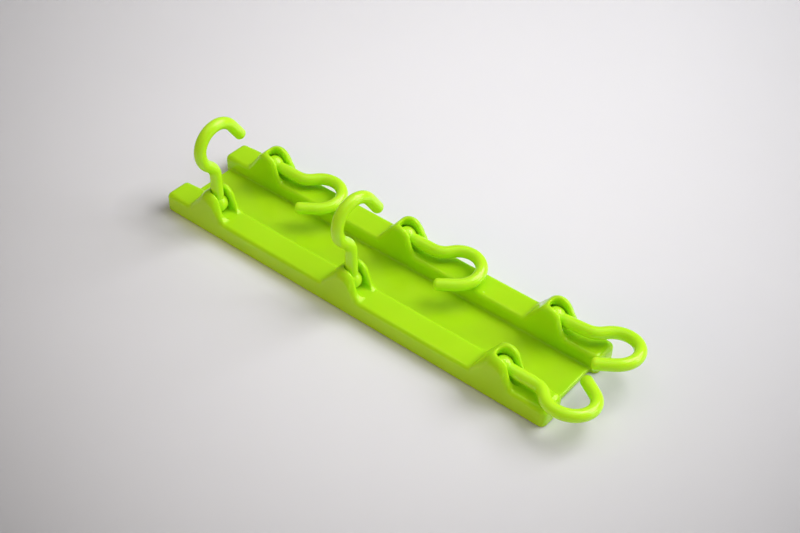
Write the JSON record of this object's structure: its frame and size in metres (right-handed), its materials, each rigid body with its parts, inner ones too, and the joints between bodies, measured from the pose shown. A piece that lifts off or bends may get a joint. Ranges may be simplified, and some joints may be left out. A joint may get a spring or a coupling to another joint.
{
  "type": "adhesive hook strip",
  "caption": "Long plastic channel strip with an adhesive back and hooded lugs on both rails, each holding a curled hook on a ball knuckle that folds flat or swings up.",
  "frame": {"origin": "middle of the sticky back face", "axes": "+X along the strip towards the end the folded hooks point to, +Z away from the wall, -Y the front rail"},
  "size_m": [0.1749, 0.044, 0.0432],
  "materials": {
    "strip_plastic": "glossy moulded lime green, slightly translucent",
    "hook_plastic": "glossy moulded lime green, slightly translucent",
    "pad_foam": "white closed-cell foam tape"
  },
  "bodies": {
    "strip": {"base_strip": "strip_plastic", "adhesive_pad": "pad_foam"},
    "hook_front_left": {"hook_front_left": "hook_plastic"},
    "hook_front_middle": {"hook_front_middle": "hook_plastic"},
    "hook_front_right": {"hook_front_right": "hook_plastic"},
    "hook_back_left": {"hook_back_left": "hook_plastic"},
    "hook_back_middle": {"hook_back_middle": "hook_plastic"},
    "hook_back_right": {"hook_back_right": "hook_plastic"}
  },
  "joints": [
    {"name": "hook_front_left_pivot", "type": "hinge", "parent": "strip", "child": "hook_front_left", "pos_m": [-0.0598, -0.0142, 0.0102], "axis": [0, -1, 0], "range_deg": [-91.4, 0]},
    {"name": "hook_front_middle_pivot", "type": "hinge", "parent": "strip", "child": "hook_front_middle", "pos_m": [0.0007, -0.0142, 0.0102], "axis": [0, -1, 0], "range_deg": [-91.9, 0]},
    {"name": "hook_front_right_pivot", "type": "hinge", "parent": "strip", "child": "hook_front_right", "pos_m": [0.0612, -0.0142, 0.0102], "axis": [0, -1, 0], "range_deg": [0, 91.9]},
    {"name": "hook_back_left_pivot", "type": "hinge", "parent": "strip", "child": "hook_back_left", "pos_m": [-0.0598, 0.0142, 0.0102], "axis": [0, -1, 0], "range_deg": [0, 92]},
    {"name": "hook_back_middle_pivot", "type": "hinge", "parent": "strip", "child": "hook_back_middle", "pos_m": [0.0007, 0.0142, 0.0102], "axis": [0, -1, 0], "range_deg": [0, 90.9]},
    {"name": "hook_back_right_pivot", "type": "hinge", "parent": "strip", "child": "hook_back_right", "pos_m": [0.0612, 0.0142, 0.0102], "axis": [0, -1, 0], "range_deg": [0, 87.2]}
  ]
}
